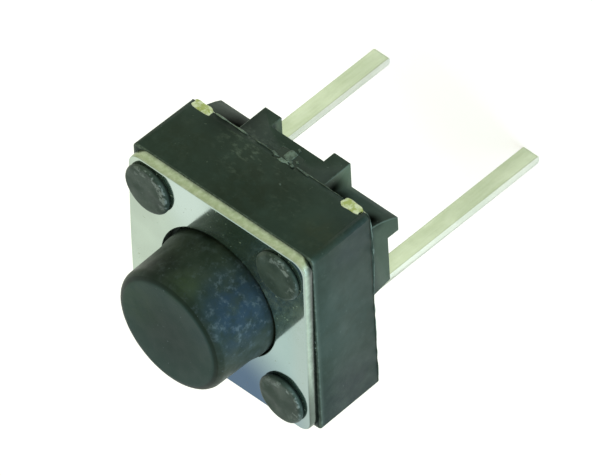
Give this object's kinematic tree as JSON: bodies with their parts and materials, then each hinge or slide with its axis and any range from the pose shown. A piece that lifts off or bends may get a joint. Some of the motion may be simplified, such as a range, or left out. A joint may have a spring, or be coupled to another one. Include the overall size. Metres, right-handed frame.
{
  "type": "tactile push button switch",
  "caption": "Square through-hole tactile switch with a round plunger, a bright staked cover and two flat leads.",
  "frame": {"origin": "centre of the housing on the face of the circuit board, where the stand-off rails touch it", "axes": "+Z along the plunger, away from the board; X from lead to lead; +Y towards the side with the cut strip ends"},
  "size_m": [0.006, 0.006, 0.0102],
  "materials": {
    "housing_plastic": "fine-grained black moulding",
    "cover_metal": "bright plated sheet, mirror-like",
    "plunger_plastic": "satin black moulding",
    "dome_steel": "bright spring sheet",
    "tinned_metal": "satin tin plating with a pale yellow tone"
  },
  "bodies": {
    "housing": {"base": "housing_plastic", "cover_plate": "cover_metal", "snap_dome": "dome_steel", "centre_terminal": "tinned_metal", "outer_terminal": "tinned_metal"},
    "button": {"plunger": "plunger_plastic"}
  },
  "joints": [
    {"name": "plunger_press", "type": "slide", "parent": "housing", "child": "button", "axis": [0, 0, -1], "range_m": [0, 0.00025], "stiffness_N_per_m": 6000, "springref_m": -0.00001, "deforming": ["snap_dome"]}
  ]
}
